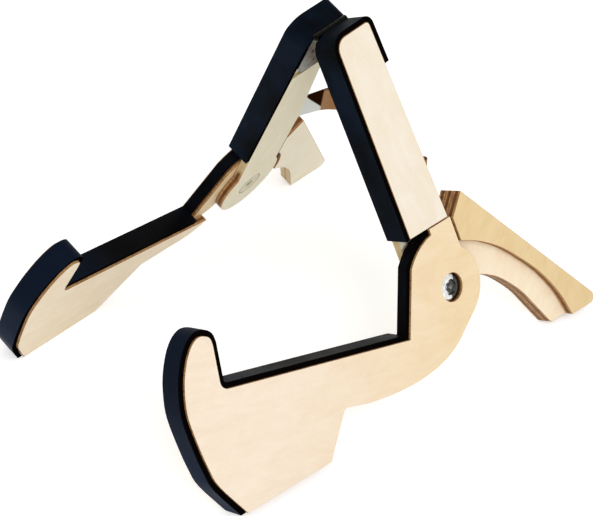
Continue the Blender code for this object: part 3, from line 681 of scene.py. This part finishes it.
def strap_end(half):
    """The strap's middle line in the plane of a half: tucked into the post, at its edge, and clear of it."""
    forward, outward, upward, hinge = half_axes(half)
    ahead = np.array([STRAP_TUCK - NECK_REAR, -NECK_REAR, -NECK_REAR - STRAP_LEAD])[:, None]
    depth = CLOSING_GAP + SHEET - STRAP_THICKNESS / 2
    return hinge + 0.001 * (ahead * forward + depth * outward + (STRAP_LIFT - POST_DROP) * upward)


def smooth_path(points, steps):
    """A Catmull-Rom curve: each run is a cubic in t, its slopes half the span of the neighbouring points."""
    p = np.asarray(points, float)
    p = np.vstack([2 * p[0] - p[1], p, 2 * p[-1] - p[-2]])
    t = np.linspace(0, 1, steps, endpoint=False)[None, :, None]
    a, b, c, d = (p[i:len(p) - 3 + i, None, :] for i in range(4))
    run = 0.5 * (2 * b + (c - a) * t + (2 * a - 5 * b + 4 * c - d) * t**2 + (3 * b - a - 3 * c + d) * t**3)
    return np.vstack([run.reshape(-1, 3), p[-2:-1]])


def harness_leather():
    """Vegetable-tanned leather: fine pores, cloudy dye, darker burnished edges and a waxed gloss, with
    painted shade and a painted reflection at its left end.
    """
    made, tree, shader = new_material("waxed_harness_leather")
    chart = add(tree, "UVMap", {}, uv_map="strap")
    flat = add(tree, "Mapping", {"Vector": chart.outputs["UV"], "Scale": (1000, 1000, 1000)})
    split = add(tree, "SeparateXYZ", {0: flat.outputs[0]})
    dye = add(tree, "TexNoise", {"Vector": flat.outputs[0], "Scale": 0.12, "Detail": 5.0, "Roughness": 0.6})
    colour = add(tree, "Mix", {0: dye.outputs["Fac"], 6: linear("B5803E"), 7: linear("8F6029")},
                 data_type="RGBA")
    off_centre = add(tree, "Math", {0: split.outputs["Y"], 1: STRAP_WIDTH / 2}, operation="SUBTRACT")
    to_edge = add(tree, "Math", {0: off_centre.outputs[0]}, operation="ABSOLUTE")
    rim = add(tree, "MapRange", {"Value": to_edge.outputs[0], "From Min": STRAP_WIDTH / 2 - 1.0,
                                 "From Max": STRAP_WIDTH / 2 - 0.2, "To Max": 0.75})
    edged = add(tree, "Mix", {0: rim.outputs[0], 6: colour.outputs[2], 7: linear("4B2A14")}, data_type="RGBA")
    # On the inner side the left end is painted: dark shade above a slanting line, and a pale painted
    # reflection below it
    slant = add(tree, "Math", {0: split.outputs["X"], 1: PAINTED_REFLECTION_SLOPE, 2: split.outputs["Y"]},
                operation="MULTIPLY_ADD")
    border = PAINTED_REFLECTION_FROM[0] * PAINTED_REFLECTION_SLOPE + PAINTED_REFLECTION_FROM[1]
    shade_side = add(tree, "MapRange", {"Value": slant.outputs[0], "From Min": border - 0.5,
                                      "From Max": border + 0.5})
    # Pale painted reflection below the line, dark painted shade above it
    painted_shade_and_reflection = add(tree, "Mix", {0: shade_side.outputs[0], 6: linear("E6EEEC"), 7: linear("2A1406")},
                   data_type="RGBA")
    before = add(tree, "MapRange", {"Value": split.outputs["X"], "From Min": PAINTED_END_REACH - 0.5,
                                    "From Max": PAINTED_END_REACH + 0.5, "To Min": 1.0, "To Max": 0.0})
    faces = add(tree, "TexCoord", {})
    inner = add(tree, "VectorMath", {0: faces.outputs["Normal"], 1: (0, -1, 0)}, operation="DOT_PRODUCT")
    inside = add(tree, "MapRange", {"Value": inner.outputs["Value"], "From Max": 0.1})
    painted_end = add(tree, "Math", {0: before.outputs[0], 1: inside.outputs[0]}, operation="MULTIPLY")
    patched = add(tree, "Mix", {0: painted_end.outputs[0], 6: edged.outputs[2], 7: painted_shade_and_reflection.outputs[2]},
               data_type="RGBA")
    tree.links.new(patched.outputs[2], shader.inputs["Base Color"])
    shader.inputs["Roughness"].default_value = 0.6
    # The painted shade has neither gloss nor coat
    painted_shade_area = add(tree, "Math", {0: painted_end.outputs[0], 1: shade_side.outputs[0]}, operation="MULTIPLY")
    gleam = add(tree, "MapRange", {"Value": painted_shade_area.outputs[0], "To Min": 0.2, "To Max": 0.0})
    tree.links.new(gleam.outputs[0], shader.inputs["Specular IOR Level"])
    wax = add(tree, "MapRange", {"Value": painted_shade_area.outputs[0], "To Min": 0.6, "To Max": 0.0})
    tree.links.new(wax.outputs[0], shader.inputs["Coat Weight"])
    shader.inputs["Coat Roughness"].default_value = 0.16
    shader.inputs["Coat IOR"].default_value = 1.4
    # Pores about 0.6 mm apart
    pores = add(tree, "TexVoronoi", {"Vector": flat.outputs[0], "Scale": 1.6}, feature="DISTANCE_TO_EDGE")
    cell = add(tree, "MapRange", {"Value": pores.outputs["Distance"], "From Max": 0.12})
    relief = add(tree, "Bump", {"Height": cell.outputs[0], "Strength": 0.25, "Distance": 0.00012})
    tree.links.new(relief.outputs[0], shader.inputs["Normal"])
    return made


left, right = strap_end("left"), strap_end("right")
back = (left[1] - left[0]) / np.linalg.norm(left[1] - left[0])
middle, reach = (left[2] + right[2]) / 2, (left[2] - right[2]) / 2
bow = [middle - reach * share + 0.001 * back * STRAP_BOW * depth for share, depth in STRAP_COURSE]
path = smooth_path(np.vstack([left, bow, right[::-1]]), PATH_STEPS)
# The band's broad side follows the posts' upward directions, mixed by the share of the way from the right
# post to the left one and squared to the path. Its thin side is square to both.
tangent = np.gradient(path, axis=0)
tangent /= np.linalg.norm(tangent, axis=1)[:, None]
share = np.clip(((path - middle) @ reach) / (reach @ reach) / 2 + 0.5, 0, 1)[:, None]
broad = share * half_axes("left")[2] + (1 - share) * half_axes("right")[2]
broad -= tangent * (broad * tangent).sum(axis=1)[:, None]
broad /= np.linalg.norm(broad, axis=1)[:, None]
thick = np.cross(tangent, broad)
# The cross-section is a flat band with quarter circles of the edge radius at its four corners
corner = np.radians(np.linspace(0, 90, CORNER_POINTS))
flat_half, thin_half = STRAP_WIDTH / 2 - STRAP_EDGE, STRAP_THICKNESS / 2 - STRAP_EDGE
rounds = [np.column_stack([sx * flat_half + STRAP_EDGE * np.cos(corner + turn),
                           sy * thin_half + STRAP_EDGE * np.sin(corner + turn)])
          for sx, sy, turn in ((1, 1, 0), (-1, 1, math.pi / 2), (-1, -1, math.pi), (1, -1, 1.5 * math.pi))]
flats = np.linspace(0.9, -0.9, FLAT_POINTS) * flat_half
outside = np.column_stack([flats, np.full(FLAT_POINTS, STRAP_THICKNESS / 2)])
inside = np.column_stack([flats[::-1], np.full(FLAT_POINTS, -STRAP_THICKNESS / 2)])
section = np.vstack([rounds[0], outside, rounds[1], rounds[2], inside, rounds[3]]) * 0.001
points = (path[:, None, :] + section[None, :, :1] * broad[:, None, :]
          + section[None, :, 1:] * thick[:, None, :])
count = len(section)
ends = [list(range(count)), list(range(count * len(path) - count, count * len(path)))]
mesh = bpy.data.meshes.new("leather_band")
mesh.from_pydata(points.reshape(-1, 3).tolist(), [], ring_faces(len(path), count) + ends)
# The map runs along the strap and across it, in metres
run = np.concatenate([[0], np.cumsum(np.linalg.norm(np.diff(path, axis=0), axis=1))])
lay = np.dstack([np.repeat(run[:, None], count, axis=1),
                 np.repeat(section[None, :, 0] + 0.0005 * STRAP_WIDTH, len(path), axis=0)]).reshape(-1, 2)
corners = np.empty(len(mesh.loops), np.int32)
mesh.loops.foreach_get("vertex_index", corners)
mesh.uv_layers.new(name="strap").data.foreach_set("uv", lay[corners].astype(np.float32).ravel())
band = closed_piece("leather_band", mesh, harness_leather(), 50)
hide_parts("strap")
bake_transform(band)
